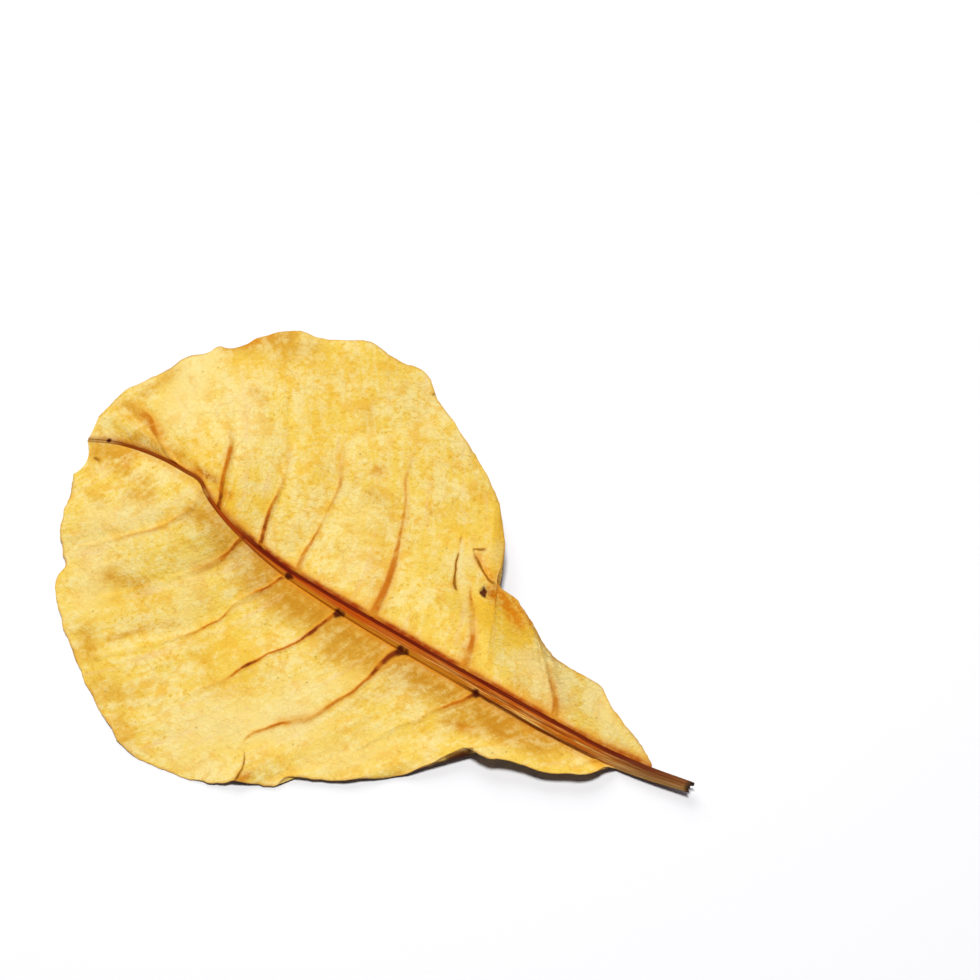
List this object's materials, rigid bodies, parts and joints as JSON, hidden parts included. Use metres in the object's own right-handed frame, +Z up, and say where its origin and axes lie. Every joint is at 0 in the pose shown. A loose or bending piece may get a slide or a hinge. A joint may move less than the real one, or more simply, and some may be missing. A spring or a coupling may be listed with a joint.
{
  "type": "indian almond leaf",
  "caption": "Dried yellow Indian almond leaf with a short cut stalk, a raised midrib, ridged side veins and a waved blade, lying with its underside up.",
  "frame": {"origin": "on the surface that the leaf lies on, under the middle of its box", "axes": "+X from the cut stalk to the tip, +Y towards the half whose margin has the pleat, +Z up"},
  "size_m": [0.2122, 0.146, 0.0133],
  "materials": {
    "leaf": "dry, matte, papery, yellow with ochre patches and red-brown veins"
  },
  "bodies": {
    "root": {"leaf": "leaf"}
  },
  "joints": []
}
